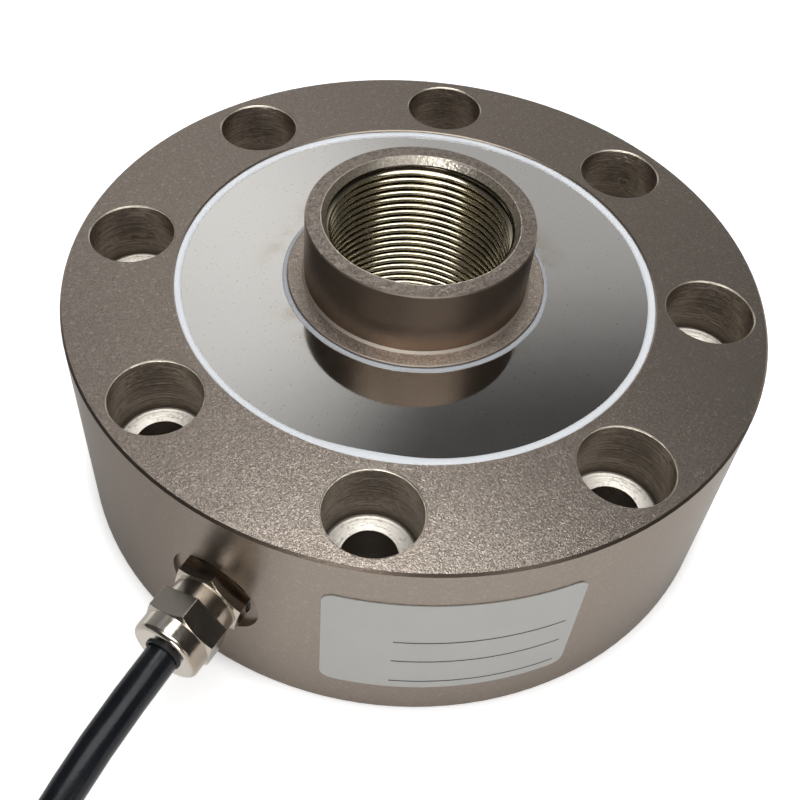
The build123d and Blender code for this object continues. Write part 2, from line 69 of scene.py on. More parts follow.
# The hub's internal thread, M32 x 1.5
THREAD_R = 16.0
THREAD_PITCH = 1.5
THREAD_DEPTH = 0.812
THREAD_PHASE = 130.0
MOUTH_DEPTH = 1.4
MOUTH_FLARE = 0.8
LOW_MOUTH_TOP = 2.0
THREAD_SEGMENTS = 128
CREST_ROUNDING = 0.05
FLANK_SLANT = 0.6
SUNK_IN_WALL = 0.03
SUNK_IN_MOUTH = 0.02
# The radii over which painted shade darkens the thread towards its root
THREAD_ROOT_SHADE = (THREAD_R - 0.55, THREAD_R - 0.10)

# Sealant beads, laid by hand in the corners of the cover. A dip is where a bead's toe lies
# nearer the axis: the angle of its middle, how far round it reaches, and how much nearer.
OUTER_BEAD_TOE = 40.85
INNER_BEAD_TOE = 23.45
OUTER_BEAD_DIPS = [(315.0, 45.0, 0.28), (291.0, 11.0, 0.50)]
INNER_BEAD_DIPS = [(298.0, 60.0, 0.22)]
BEAD_GAP = 0.01
BEAD_RISE = 0.42
BEAD_RISE_WAVE = 0.10
BEAD_WAVE = 0.045
WAVES = 5
BEAD_STEPS = 360

# A bead's section: shares of its width from toe to wall, and of its rise
BEAD_SECTION = [(0.0, -0.02), (0.0, 0.0), (0.07, 0.40), (0.22, 0.74), (0.42, 0.95)]
BEAD_SECTION += [(0.62, 1.0), (0.82, 0.93), (1.0, 0.80), (1.0, -0.02)]

# Ruled lines on the label: ends as angles about the body's axis, and heights
LABEL_R = 61.15
LINE_ENDS = (297.5, 322.8)
LINE_HEIGHTS = [22.4, 16.5, 10.0]
LINE_W = 0.32
LINE_T = 0.012
LINE_STEPS = 24

# The cable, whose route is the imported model's
CABLE_R = 2.7
GLAND_Z = 20.6
LEAD = [
    (0.0, -62.0, GLAND_Z),
    (0.0, -84.0, GLAND_Z),
    (0.0, -105.0, 12.6),
    (0.3, -125.0, 5.9),
    (1.2, -143.5, CABLE_R),
    (3.8, -161.0, CABLE_R),
]
LAST_RUN = 16.0
ENTRY_STUB = 22.0
ENTRY_HEADING = 20.0
COIL_OUTER_TURN = 41.3
COIL_INNER_TURN = 23.5
COIL_LAYERS = 4
TURNS_A_LAYER = 3.15
CLIMB_TURNS = 1 / 6
POINTS_A_TURN = 24
TIE_ANGLES = [60.0, 235.0]
TIE_SQUEEZE = 0.75
TIE_REACH = 14.0
TOP_RUN_R = 33.0
TOP_RUN_Z = 24.0
TOP_RUN_FROM = 190.0
TOP_RUN_TO = 137.0
SLEEVE_RISE = 0.6

# The camera, as the photograph was taken
CAMERA_PLACE = Vector((58.22, -123.83, 166.75)) * MM
CAMERA_AZIMUTH = 28.24
CAMERA_ELEVATION = 46.26
CAMERA_ROLL = 3.83
CAMERA_LENS = 47.30
CAMERA_SHIFT = (0.0379, -0.0800)


def polar(radius, angle, height):
    """A point in millimetres from a radius, an angle about Z and a height."""
    turn = math.radians(angle)
    return Vector((radius * math.cos(turn), radius * math.sin(turn), height))


def smooth_step(value):
    value = min(max(value, 0.0), 1.0)
    return value * value * (3 - 2 * value)


def blend(start, end, share):
    return start + (end - start) * share


def near(angle, centre, reach):
    """1 at a centre angle, falling away over a reach on both sides."""
    apart = (angle - centre + 180) % 360 - 180
    return math.exp(-((apart / reach) ** 2))


# Shader building


class Nodes:
    """Shader nodes, made in a tree and joined as they are made."""

    def __init__(self, tree):
        self.tree = tree

    def node(self, kind, **settings):
        made = self.tree.nodes.new(kind)
        for key, value in settings.items():
            setattr(made, key, value)
        return made

    def feed(self, socket, value):
        """A socket takes a link or, for a plain value, its own setting."""
        if isinstance(value, bpy.types.NodeSocket):
            self.tree.links.new(value, socket)
        else:
            socket.default_value = value

    def math(self, operation, *values):
        made = self.node("ShaderNodeMath", operation=operation)
        for socket, value in zip(made.inputs, values):
            self.feed(socket, value)
        return made.outputs[0]

    def product(self, *levels):
        """Levels multiplied together."""
        total = levels[0]
        for level in levels[1:]:
            total = self.math("MULTIPLY", total, level)
        return total

    def opposite(self, level):
        """1 where a level is 0, and 0 where it is 1."""
        return self.math("SUBTRACT", 1.0, level)

    def length(self, along, across):
        """How long two sides at right angles reach together."""
        squares = self.math("ADD", self.product(along, along), self.product(across, across))
        return self.math("SQRT", squares)

    def vector(self, operation, *values, scale=None):
        made = self.node("ShaderNodeVectorMath", operation=operation)
        for socket, value in zip(made.inputs, values):
            self.feed(socket, value)
        if scale is not None:
            self.feed(made.inputs["Scale"], scale)
        return made.outputs[0]

    def dot(self, first, second):
        """How far two ways agree."""
        made = self.node("ShaderNodeVectorMath", operation="DOT_PRODUCT")
        self.feed(made.inputs[0], first)
        self.feed(made.inputs[1], second)
        return made.outputs["Value"]

    def split(self, vector):
        made = self.node("ShaderNodeSeparateXYZ")
        self.feed(made.inputs[0], vector)
        return made.outputs

    def join(self, x, y, z):
        made = self.node("ShaderNodeCombineXYZ")
        for socket, value in zip(made.inputs, (x, y, z)):
            self.feed(socket, value)
        return made.outputs[0]

    def fade(self, value, low, high, to_low=0.0, to_high=1.0):
        """A smooth change from one level to another as a value goes from low to high."""
        made = self.node("ShaderNodeMapRange", interpolation_type="SMOOTHSTEP")
        for socket, given in zip(made.inputs, (value, low, high, to_low, to_high)):
            self.feed(socket, given)
        return made.outputs[0]

    def between(self, factor, start, end):
        """A level between two others."""
        made = self.node("ShaderNodeMix", data_type="FLOAT")
        for name, value in (("Factor", factor), ("A", start), ("B", end)):
            self.feed(made.inputs[name], value)
        return made.outputs[0]

    def tint(self, factor, start, end):
        """A colour between two others."""
        made = self.node("ShaderNodeMix", data_type="RGBA")
        self.feed(made.inputs[0], factor)
        for socket, value in ((made.inputs[6], start), (made.inputs[7], end)):
            self.feed(socket, (*value, 1.0) if isinstance(value, tuple) else value)
        return made.outputs[2]


class Paint(Nodes):
    """A material made of nodes, which reads the surface's own place in millimetres."""

    def __init__(self, name):
        self.material = bpy.data.materials.new(name)
        self.material.use_nodes = True
        super().__init__(self.material.node_tree)
        self.bsdf = self.tree.nodes["Principled BSDF"]
        coordinates = self.node("ShaderNodeTexCoord").outputs["Object"]
        self.place = self.vector("SCALE", coordinates, scale=1 / MM)

    def normal(self):
        return self.node("ShaderNodeNewGeometry").outputs["Normal"]

    def noise(self, size, detail=2.0, roughness=0.5, place=None, stretch=None):
        """Noise whose features are about size millimetres."""
        place = self.place if place is None else place
        if stretch is not None:
            place = self.vector("MULTIPLY", place, stretch)
        made = self.node("ShaderNodeTexNoise")
        self.feed(made.inputs["Vector"], place)
        self.feed(made.inputs["Scale"], 1 / size)
        self.feed(made.inputs["Detail"], detail)
        self.feed(made.inputs["Roughness"], roughness)
        return made.outputs[0]

    def grains(self, size):
        """Random levels for each grain of about size millimetres."""
        made = self.node("ShaderNodeTexVoronoi")
        self.feed(made.inputs["Vector"], self.place)
        self.feed(made.inputs["Scale"], 1 / size)
        return made.outputs["Color"]

    def tilted(self, *ways):
        """The normal with each way, a vector and its share, added to it."""
        normal = self.normal()
        for way, share in ways:
            normal = self.vector("ADD", normal, self.vector("SCALE", way, scale=share))
        return self.vector("NORMALIZE", normal)

    def bump(self, height, depth, normal=None):
        """A bump of depth millimetres where the height goes from 0 to 1."""
        made = self.node("ShaderNodeBump")
        self.feed(made.inputs["Strength"], 1.0)
        self.feed(made.inputs["Distance"], depth * MM)
        self.feed(made.inputs["Height"], height)
        if normal is not None:
            self.feed(made.inputs["Normal"], normal)
        return made.outputs[0]

    def rounded(self, radius):
        """The normal with edges eased over a radius in millimetres."""
        made = self.node("ShaderNodeBevel", samples=6)
        self.feed(made.inputs["Radius"], radius * MM)
        return made.outputs[0]

    def finish(self, **sockets):
        for name, value in sockets.items():
            socket = self.bsdf.inputs[name.replace("_", " ")]
            self.feed(socket, (*value, 1.0) if isinstance(value, tuple) else value)
        return self.material


# The span that most of a noise's levels lie in
NOISE_SPAN = (0.3, 0.7)

# How far up a surface looks where it turns flat, and where it turns upright
FLAT_FROM = (0.8, 0.95)
UPRIGHT_FROM = (0.4, 0.2)

# How far each side of the collar its tone reaches, and how far in from the rim the painted dark
# reflection on the rim's edge reaches. The ledge starts a little inside the shoulder and lies well
# below the hub's top.
COLLAR_REACH = 1.6
RIM_EDGE_W = 1.0
LEDGE_INSET = 0.1
LEDGE_DROP = 5.0

# Where beyond its edge each part of the surface begins and ends to fade out
HOLE_FADE = (0.06, 0.12)
HOLE_EDGE_FADE = (0.26, 0.30)
THROUGH_HOLE_FADE = (0.02, 0.12)
MOUTH_FADE = (0.06, 0.16)
STAIN_FADE = (0.5, 7.0)

# Sizes of the steel's grain, clouds and tool marks, and how the marks wander
FINE_GRAIN = 0.18
COARSE_GRAIN = 0.42
BLASTED_GRAIN = 0.26
CLOUD = 24.0
WALL_RING = 0.38
WALL_SWAY = 3.0
WALL_SWAY_SIZE = 4.0
SEAT_RING = 0.40
SEAT_SWAY_SIZE = 1.5

# Colours of the steel body. Two in a row are the ends of a mottled range.
PLATING = ((0.290, 0.247, 0.211), (0.319, 0.272, 0.233))
RIM_FLECKS = ((0.226, 0.192, 0.164), (0.376, 0.324, 0.278))
HUB_FLECKS = ((0.22, 0.187, 0.16), (0.47, 0.405, 0.348))
GLINT_TONE = (0.50, 0.45, 0.39)
COLLAR_TONE = (0.255, 0.197, 0.154)
# A painted highlight on the eased edges
EDGE_HIGHLIGHT_TONE = (0.72, 0.60, 0.48)
# A painted dark reflection on the rim's eased edge
RIM_EDGE_DARK_REFLECTION = (0.25, 0.20, 0.16)
LEDGE_FLECKS = ((0.27, 0.23, 0.195), (0.50, 0.43, 0.365))
# The ledge's flecks where its painted highlight is brightest
LIT_LEDGE_FLECKS = ((0.46, 0.385, 0.325), (0.84, 0.71, 0.605))
# A painted highlight along the cove between the ledge and the collar
COVE_HIGHLIGHT = (0.62, 0.545, 0.47)
MOUTH_FLECKS = ((0.58, 0.51, 0.43), (1.0, 0.92, 0.79))
# Painted shade on the hub's bore wall, seen between the thread's ridges
HUB_BORE_SHADE = (0.11, 0.09, 0.07)
BORED_WALL = ((0.275, 0.233, 0.193), (0.500, 0.430, 0.360))
BORED_SEAT = ((0.80, 0.75, 0.68), (1.0, 0.97, 0.90))
SPOT_TONE = (0.30, 0.27, 0.23)
# Painted shade in the corners of the bolt holes
CORNER_SHADE = (0.12, 0.10, 0.08)
THROUGH_HOLE_TONE = (0.50, 0.45, 0.40)
# A painted highlight on the bolt holes' eased edges
HOLE_EDGE_HIGHLIGHT = (0.95, 0.86, 0.72)
PLATING_SHEEN = (0.68, 0.66, 0.64)
BARE_SHEEN = (1.0, 1.0, 1.0)

# How much of the plating's colour is fleck, on flats and on upright walls, and how strong
# the painted highlight on its eased edges is
FLECK_SHARE = (0.75, 0.35)
EDGE_HIGHLIGHT_SHARE = 0.55

# Fades from one level or place to another, each with its shares at both ends: which grains
# glint, which spot the seats, and how dark the painted shade grows towards the bolt holes' corners
GLINTS = (0.90, 1.0, 0.0, 0.6)
SEAT_SPOTS = (0.80, 0.97, 0.0, 0.35)
LOW_WALL_SHADE = (COUNTERBORE_FLOOR + 3.5, COUNTERBORE_FLOOR + 0.3, 0.0, 0.7)
SEAT_CORNER_SHADE = (COUNTERBORE_R - 0.50, COUNTERBORE_R - 0.25, 0.0, 0.85)

# The angle at which the ledge's painted highlight is brightest, and the cosines between which it fades
# in
LEDGE_HIGHLIGHT_AT = 306.0
LEDGE_HIGHLIGHT_FADE = (0.80, 1.0)

# How far the grain turns the normal and how high it stands, how rough each part is, and how
# the rings of a seat turn its normal towards the hole
GRAIN_TILT = {"rim": 0.098, "hub": 0.20, "upright": 0.035, "edge": 0.03, "mouth": 0.24}
GRAIN_HEIGHT = {"flat": 0.35, "upright": 0.2, "edge": 0.10}
ROUGHNESS = {
    "flat": 0.29,
    "upright": 0.30,
    "ledge": 0.50,
    "mouth": 0.38,
    "wall": 0.40,
    "seat": 0.46,
}
SEAT_TILT = (-0.46, -0.06)
TOOL_MARKS = 1.6
RELIEF_DEPTH = 0.09
SEAT_METAL = 0.80


def axis_distance(paint):
    """How far a point lies from the body's axis."""
    x, y = paint.split(paint.place)[:2]
    return paint.length(x, y)


def bolt_place(paint, radius):
    """The distance from the nearest bolt's axis, and the way from that axis."""
    x, y = paint.split(paint.place)[:2]
    angle = paint.math("ARCTAN2", y, x)
    half_step = math.pi / BOLT_COUNT
    turned = paint.math("SUBTRACT", angle, math.radians(BOLT_START))
    past = paint.math("WRAP", turned, half_step, -half_step)
    along = paint.math("SUBTRACT", paint.product(radius, paint.math("COSINE", past)), BOLT_CIRCLE_R)
    across = paint.product(radius, paint.math("SINE", past))
    bolt_angle = paint.math("SUBTRACT", angle, past)
    bolt_x = paint.product(paint.math("COSINE", bolt_angle), BOLT_CIRCLE_R)
    bolt_y = paint.product(paint.math("SINE", bolt_angle), BOLT_CIRCLE_R)
    away = paint.join(paint.math("SUBTRACT", x, bolt_x), paint.math("SUBTRACT", y, bolt_y), 0.0)
    return paint.length(along, across), paint.vector("NORMALIZE", away)


def within(paint, distance, edge, beyond):
    """1 inside an edge, fading out between two distances beyond it."""
    begins, ends = beyond
    return paint.fade(distance, edge + ends, edge + begins)


def steel_zones(paint):
    """Where a point is, and levels that are 1 on one part of the body and 0 elsewhere."""
    radius = axis_distance(paint)
    height = paint.split(paint.place)[2]
    bolt, from_bolt = bolt_place(paint, radius)
    facing = paint.split(paint.normal())[2]
    flat = paint.fade(facing, *FLAT_FROM)
    upright = paint.fade(facing, *UPRIGHT_FROM)
    eased = paint.opposite(paint.math("MAXIMUM", flat, upright))
    in_hole = within(paint, bolt, COUNTERBORE_R, HOLE_FADE)
    near_hole = within(paint, bolt, COUNTERBORE_R, HOLE_EDGE_FADE)
    inside_shoulder = paint.math("LESS_THAN", radius, SHOULDER_R - LEDGE_INSET)
    below_hub_top = paint.math("LESS_THAN", height, HUB_TOP - LEDGE_DROP)
    return SimpleNamespace(
        height=height,
        bolt=bolt,
        from_bolt=from_bolt,
        flat=flat,
        upright=upright,
        eased=eased,
        by_hub=paint.math("LESS_THAN", radius, SHOULDER_R),
        on_ledge=paint.product(inside_shoulder, paint.opposite(upright), below_hub_top),
        on_collar=paint.product(paint.math("COMPARE", radius, COLLAR_R, COLLAR_REACH), upright),
        rim_edge=paint.product(eased, paint.math("GREATER_THAN", radius, BODY_R - RIM_EDGE_W)),
        in_mouth=within(paint, radius, THREAD_R + MOUTH_FLARE, MOUTH_FADE),
        in_hole=in_hole,
        hole_edge=paint.product(near_hole, eased),
        hole_wall=paint.product(in_hole, paint.opposite(flat)),
        seat=paint.product(in_hole, flat),
        through_hole=within(paint, bolt, BOLT_R, THROUGH_HOLE_FADE),
    )


def steel_textures(paint, zone):
    """The blasted grain, and the rings that the tools left in the bolt holes."""
    grains = paint.grains(FINE_GRAIN)
    hub_fleck, glint = paint.split(paint.grains(COARSE_GRAIN))[:2]
    sway = paint.product(paint.noise(WALL_SWAY_SIZE), WALL_SWAY)
    up_the_wall = paint.join(sway, 0.0, zone.height)
    across_the_seat = paint.join(zone.bolt, 0.0, paint.noise(SEAT_SWAY_SIZE))
    return SimpleNamespace(
        grains=grains,
        fleck=paint.split(grains)[0],
        hub_fleck=hub_fleck,
        glint=glint,
        blasted=paint.noise(BLASTED_GRAIN, 2.0, 0.6),
        cloud=paint.noise(CLOUD, 3.0, 0.55),
        rings=paint.noise(WALL_RING, 2.0, 0.6, place=up_the_wall),
        seat_rings=paint.noise(SEAT_RING, 3.0, 0.7, place=across_the_seat),
    )


def ledge_colour(paint, zone, texture):
    """The ledge round the collar, with a painted highlight that makes it brighter on one side, and a
    painted highlight on the cove above it.
    """
    level_place = paint.vector("MULTIPLY", paint.place, (1.0, 1.0, 0.0))
    way = paint.vector("NORMALIZE", level_place)
    # Painted highlight: the ledge is lightened on the side that faces one angle
    wear_and_sheen = paint.fade(paint.dot(way, polar(1.0, LEDGE_HIGHLIGHT_AT, 0.0)), *LEDGE_HIGHLIGHT_FADE)
    dull = paint.tint(texture.fleck, *LEDGE_FLECKS)
    bright = paint.tint(texture.fleck, *LIT_LEDGE_FLECKS)
    # The cove takes a painted highlight
    return paint.tint(zone.eased, paint.tint(wear_and_sheen, dull, bright), COVE_HIGHLIGHT)


def plated_colour(paint, zone, texture):
    """Nickel over blasted steel, with the hub in a tone of its own, painted highlights on the ledge
    and the eased edges, a painted dark reflection on the rim's edge and painted shade in the hub's
    bore.
    """
    flecks = paint.tint(texture.fleck, *RIM_FLECKS)
    flecks = paint.tint(zone.by_hub, flecks, paint.tint(texture.hub_fleck, *HUB_FLECKS))
    flecks = paint.tint(paint.fade(texture.glint, *GLINTS), flecks, GLINT_TONE)
    fleck_share = paint.between(zone.upright, *FLECK_SHARE)
    colour = paint.tint(fleck_share, paint.tint(texture.cloud, *PLATING), flecks)
    colour = paint.tint(zone.on_collar, colour, COLLAR_TONE)
    # Painted highlight: the eased edges are lightened towards a copper tone
    colour = paint.tint(paint.product(zone.eased, EDGE_HIGHLIGHT_SHARE), colour, EDGE_HIGHLIGHT_TONE)
    colour = paint.tint(zone.on_ledge, colour, ledge_colour(paint, zone, texture))
    # Painted dark reflection on the rim's eased edge
    colour = paint.tint(zone.rim_edge, colour, RIM_EDGE_DARK_REFLECTION)
    # The bore's upright wall takes painted shade
    mouth = paint.tint(zone.upright, paint.tint(texture.fleck, *MOUTH_FLECKS), HUB_BORE_SHADE)
    return paint.tint(zone.in_mouth, colour, mouth)


def bored_colour(paint, zone, texture):
    """Bare steel in the bolt holes: ringed walls, bright seats and painted shade in the corners."""
    wall = paint.tint(paint.fade(texture.rings, *NOISE_SPAN), *BORED_WALL)
    # Painted shade low on the walls, near the seats
    wall = paint.tint(paint.fade(zone.height, *LOW_WALL_SHADE), wall, CORNER_SHADE)
    seat = paint.tint(paint.fade(texture.seat_rings, *NOISE_SPAN), *BORED_SEAT)
    seat = paint.tint(paint.fade(texture.glint, *SEAT_SPOTS), seat, SPOT_TONE)
    # Painted shade on the seat's outer ring, in the corner by the wall
    seat = paint.tint(paint.fade(zone.bolt, *SEAT_CORNER_SHADE), seat, CORNER_SHADE)
    return paint.tint(zone.through_hole, paint.tint(zone.seat, wall, seat), THROUGH_HOLE_TONE)


def steel_relief(paint, zone, texture):
    """Grain outside the holes, rings on their walls and a turned finish on their seats."""
    edge_tilt = paint.between(zone.in_mouth, GRAIN_TILT["edge"], GRAIN_TILT["mouth"])
    flat_tilt = paint.between(zone.by_hub, GRAIN_TILT["rim"], GRAIN_TILT["hub"])
    tilt = paint.between(zone.eased, flat_tilt, edge_tilt)
    tilt = paint.between(zone.upright, tilt, GRAIN_TILT["upright"])
    tilt = paint.between(zone.in_hole, tilt, 0.0)
    way = paint.vector("SUBTRACT", texture.grains, (0.5, 0.5, 0.5))
    seat_tilt = paint.product(paint.fade(texture.seat_rings, *NOISE_SPAN, *SEAT_TILT), zone.seat)
    turned = paint.tilted((way, tilt), (zone.from_bolt, seat_tilt))

    height = paint.between(zone.upright, GRAIN_HEIGHT["flat"], GRAIN_HEIGHT["upright"])
    height = paint.between(zone.eased, height, GRAIN_HEIGHT["edge"])
    grain = paint.product(texture.blasted, paint.between(zone.in_hole, height, 0.0))
    marks = paint.product(texture.rings, zone.hole_wall, TOOL_MARKS)
    return paint.bump(paint.math("ADD", grain, marks), RELIEF_DEPTH, normal=turned)


def nickel_steel():
    """Blasted and nickel-plated steel, with freshly bored bolt holes."""
    paint = Paint("nickel_steel")
    zone = steel_zones(paint)
    texture = steel_textures(paint, zone)
    plated = plated_colour(paint, zone, texture)
    bored = bored_colour(paint, zone, texture)
    colour = paint.tint(zone.in_hole, plated, bored)
    # Painted highlight on the bolt holes' eased edges
    colour = paint.tint(zone.hole_edge, colour, HOLE_EDGE_HIGHLIGHT)
    roughness = paint.between(zone.upright, ROUGHNESS["flat"], ROUGHNESS["upright"])
    roughness = paint.between(zone.on_ledge, roughness, ROUGHNESS["ledge"])
    roughness = paint.between(zone.in_mouth, roughness, ROUGHNESS["mouth"])
    in_hole = paint.between(zone.seat, ROUGHNESS["wall"], ROUGHNESS["seat"])
    roughness = paint.between(zone.in_hole, roughness, in_hole)
    ring = paint.product(zone.seat, paint.opposite(zone.through_hole))
    return paint.finish(
        Base_Color=colour,
        Metallic=paint.fade(ring, 0.0, 1.0, 1.0, SEAT_METAL),
        Roughness=roughness,
        Specular_Tint=paint.tint(zone.in_hole, PLATING_SHEEN, BARE_SHEEN),
        Normal=steel_relief(paint, zone, texture),
    )


def thread_steel():
    """The thread's flanks: cut steel, smooth along the helix, with painted shade at the root."""
    paint = Paint("thread_steel")
    wear_and_sheen = paint.noise(1.4, 3.0, 0.6)
    root = paint.fade(axis_distance(paint), *THREAD_ROOT_SHADE)
    flank = paint.tint(wear_and_sheen, (0.70, 0.63, 0.46), (0.78, 0.71, 0.53))
    # Painted shade: the flanks darken towards the thread's root
    colour = paint.tint(root, flank, (0.15, 0.125, 0.10))
    roughness = paint.fade(wear_and_sheen, *NOISE_SPAN, 0.14, 0.17)
    return paint.finish(Base_Color=colour, Metallic=1.0, Roughness=roughness)


def polished_cover():
    """Mirror-bright stainless sheet with a few specks and faint stains by the hub."""
    paint = Paint("polished_cover")
    haze = paint.noise(16.0, 4.0, 0.6)
    specks = paint.fade(paint.noise(0.45, 1.0, 0.4), 0.70, 0.75)
    near_hub = within(paint, axis_distance(paint), SHOULDER_R, STAIN_FADE)
    stain = paint.product(near_hub, paint.fade(paint.noise(9.0, 4.0, 0.65), 0.42, 0.66))
    steel = paint.tint(haze, (0.755, 0.735, 0.70), (0.80, 0.78, 0.745))
    steel = paint.tint(paint.product(stain, 0.5), steel, (0.55, 0.43, 0.30))
    colour = paint.tint(paint.product(specks, 0.55), steel, (0.25, 0.24, 0.23))
    polish = paint.fade(haze, 0.35, 0.7, 0.05, 0.08)
    roughness = paint.math("ADD", polish, paint.product(stain, 0.10))
    relief = paint.bump(paint.noise(11.0, 2.0, 0.4), 0.012)
    return paint.finish(Base_Color=colour, Metallic=1.0, Roughness=roughness, Normal=relief)


def white_sealant():
    """Hand-laid white sealant, smooth and a little uneven; the thin bead by the hub is greyer."""
    paint = Paint("white_sealant")
    uneven = paint.noise(3.0, 3.0, 0.5)
    colour = paint.tint(uneven, (0.86, 0.90, 0.95), (0.92, 0.95, 0.98))
    inner = paint.math("LESS_THAN", axis_distance(paint), (SHOULDER_R + RECESS_R) / 2)
    colour = paint.tint(inner, colour, (0.45, 0.47, 0.50))
    relief = paint.bump(paint.noise(2.2, 2.0, 0.5), 0.10)
    return paint.finish(Base_Color=colour, Roughness=0.32, Normal=relief)


def gland_nickel():
    """Bright nickel over turned brass, with a painted dark reflection on the side towards +X."""
    paint = Paint("gland_nickel")
    wear_and_sheen = paint.noise(2.6, 4.0, 0.65)
    scratch = paint.noise(0.25, 2.0, 0.5, stretch=(1.0, 0.12, 1.0))
    sideways = paint.split(paint.normal())[0]
    nickel = paint.tint(wear_and_sheen, (0.54, 0.49, 0.42), (0.63, 0.58, 0.51))
    # Painted dark reflection: surfaces facing +X are darkened towards brown
    colour = paint.tint(paint.fade(sideways, 0.15, 0.75), nickel, (0.34, 0.285, 0.23))
    roughness = paint.fade(wear_and_sheen, 0.3, 0.75, 0.13, 0.24)
    relief = paint.bump(scratch, 0.012, normal=paint.rounded(0.10))
    return paint.finish(Base_Color=colour, Metallic=1.0, Roughness=roughness, Normal=relief)


def soft_black(name, colour, roughness, grain, sheen=0.5):
    """A black rubber or plastic with a faint grain."""
    paint = Paint(name)
    uneven = paint.noise(4.0, 3.0, 0.6)
    lighter = tuple(min(1.0, level * 1.7 + 0.004) for level in colour)
    relief = paint.bump(paint.noise(grain, 3.0, 0.55), 0.02)
    shade = paint.tint(uneven, colour, lighter)
    rough = paint.fade(uneven, *NOISE_SPAN, roughness, roughness + 0.08)
    return paint.finish(Base_Color=shade, Roughness=rough, Specular_IOR_Level=sheen, Normal=relief)


def silver_label():
    """Matt silver film."""
    paint = Paint("silver_label")
    cloud = paint.noise(7.0, 3.0, 0.55)
    colour = paint.tint(cloud, (0.422, 0.418, 0.395), (0.470, 0.463, 0.440))
    relief = paint.bump(paint.noise(0.3, 2.0, 0.5), 0.008)
    return paint.finish(Base_Color=colour, Metallic=0.35, Roughness=0.52, Normal=relief)


def plain_plastic(name, colour, roughness=0.4):
    """A moulded or extruded plastic with a little unevenness in its colour."""
    paint = Paint(name)
    uneven = paint.noise(2.0, 3.0, 0.55)
    darker = tuple(level * 0.82 for level in colour)
    shade = paint.tint(uneven, darker, colour)
    relief = paint.bump(paint.noise(0.4, 2.0, 0.5), 0.01)
    return paint.finish(Base_Color=shade, Roughness=roughness, Normal=relief)


def bright_copper():
    """Tinned copper strands."""
    paint = Paint("tinned_copper")
    strands = paint.noise(0.25, 2.0, 0.5, stretch=(1.0, 1.0, 0.2))
    colour = paint.tint(strands, (0.55, 0.53, 0.50), (0.80, 0.78, 0.74))
    relief = paint.bump(strands, 0.03)
    return paint.finish(Base_Color=colour, Metallic=1.0, Roughness=0.3, Normal=relief)


# Geometry


def new_mesh(name, points, faces, material):
    """A piece from points in millimetres, riding on the body."""
    mesh = bpy.data.meshes.new(name)
    mesh.from_pydata([tuple(Vector(p) * MM) for p in points], [], faces)
    mesh.polygons.foreach_set("use_smooth", [True] * len(mesh.polygons))
    mesh.materials.append(material)
    piece = bpy.data.objects.new(name, mesh)
    bpy.context.scene.collection.objects.link(piece)
    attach(piece, "root")
    return piece


def coil_points(centre):
    """The coil's turns: spirals in and out, layer on layer, drawn in at the ties, then the top run."""
    stages = []
    inwards = True
    height = CABLE_R
    for layer in range(COIL_LAYERS):
        start = COIL_OUTER_TURN if inwards else COIL_INNER_TURN
        end = COIL_INNER_TURN if inwards else COIL_OUTER_TURN
        stages.append((TURNS_A_LAYER, start, end, height, height))
        above = height + 2 * CABLE_R if layer < COIL_LAYERS - 1 else TOP_RUN_Z
        stages.append((CLIMB_TURNS, end, end, height, above))
        height = above
        inwards = not inwards
    used = sum(stage[0] for stage in stages)
    to_top_run = (ENTRY_HEADING - TOP_RUN_FROM) % 360 / 360
    stages.append(((to_top_run - used) % 1, COIL_OUTER_TURN, TOP_RUN_R, height, height))
    stages.append(((TOP_RUN_FROM - TOP_RUN_TO) / 360, TOP_RUN_R, TOP_RUN_R, height, height))

    total = sum(stage[0] for stage in stages)
    step = 1 / POINTS_A_TURN
    middle_r = (COIL_OUTER_TURN + COIL_INNER_TURN) / 2
    middle_z = COIL_LAYERS * CABLE_R
    points = []
    for number in range(int(total / step) + 1):
        turned = (number + 0.5) * step
        angle = ENTRY_HEADING - 360 * turned
        radius, height = at_turn(stages, turned)
        squeeze = max(near(angle, tie, TIE_REACH) for tie in TIE_ANGLES)
        if height < TOP_RUN_Z - CABLE_R:
            radius = blend(radius, middle_r, squeeze * TIE_SQUEEZE / (COIL_OUTER_TURN - middle_r))
            height = blend(height, middle_z, squeeze * TIE_SQUEEZE / (middle_z - CABLE_R))
        points.append(centre + polar(radius / math.cos(math.pi * step), angle, height))
    points[-1].z += SLEEVE_RISE
    return points


def at_turn(stages, turned):
    """Radius and height after so many turns."""
    for turns, start_r, end_r, start_z, end_z in stages:
        if turned <= turns:
            share = turned / turns
            return blend(start_r, end_r, share), blend(start_z, end_z, smooth_step(share))
        turned -= turns
    return end_r, end_z


def make_cable(material):
    """The lead and its coil as one smooth cord."""
    heading = polar(1.0, ENTRY_HEADING - 90, 0.0)
    lead_end = Vector(LEAD[-1]) + heading * LAST_RUN
    entry = lead_end + heading * ENTRY_STUB
    centre = entry - polar(COIL_OUTER_TURN, ENTRY_HEADING, CABLE_R)
    route = [Vector(p) for p in LEAD] + [lead_end] + coil_points(Vector((centre.x, centre.y, 0.0)))

    curve = bpy.data.curves.new("cable", "CURVE")
    curve.dimensions = "3D"
    curve.bevel_depth = CABLE_R * MM
    curve.bevel_resolution = 6
    curve.use_fill_caps = True
    spline = curve.splines.new("NURBS")
    spline.points.add(len(route) - 1)
    for point, place in zip(spline.points, route):
        point.co = (*(place * MM), 1.0)
    spline.order_u = 3
    spline.use_endpoint_u = True
    spline.resolution_u = 4
    curve.materials.append(material)
    cable = bpy.data.objects.new("cable", curve)
    bpy.context.scene.collection.objects.link(cable)
    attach(cable, "root")
    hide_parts("cable_lead", "cable_coil")
    return cable


